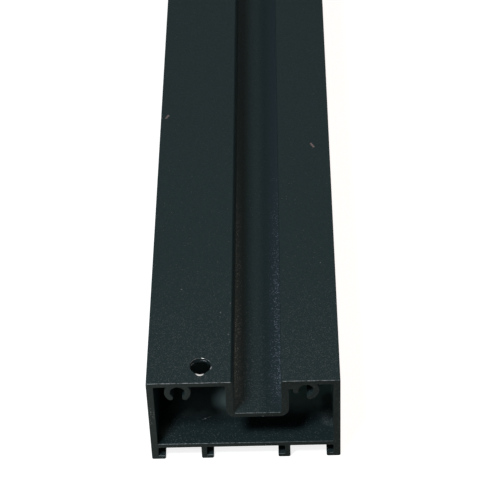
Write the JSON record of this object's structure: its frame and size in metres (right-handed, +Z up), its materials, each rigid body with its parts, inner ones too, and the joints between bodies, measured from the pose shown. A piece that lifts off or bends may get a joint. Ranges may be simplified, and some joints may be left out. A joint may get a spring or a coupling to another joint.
{
  "type": "aluminium extrusion profile",
  "caption": "Hollow rectangular aluminium extrusion bar with an off-centre groove along its top, split screw ports inside, hooked feet below and one drilled hole near an end.",
  "frame": {"origin": "centre of the rectangle that the profile stands on, at the underside of its feet", "axes": "+Y along the length, from the end with the drilled hole to the plain end; +Z up, out of the groove; +X across, to the right seen from the drilled end"},
  "size_m": [0.05, 1, 0.028],
  "materials": {
    "powder_coat": "matte"
  },
  "bodies": {
    "root": {"profile": "powder_coat"}
  },
  "joints": []
}
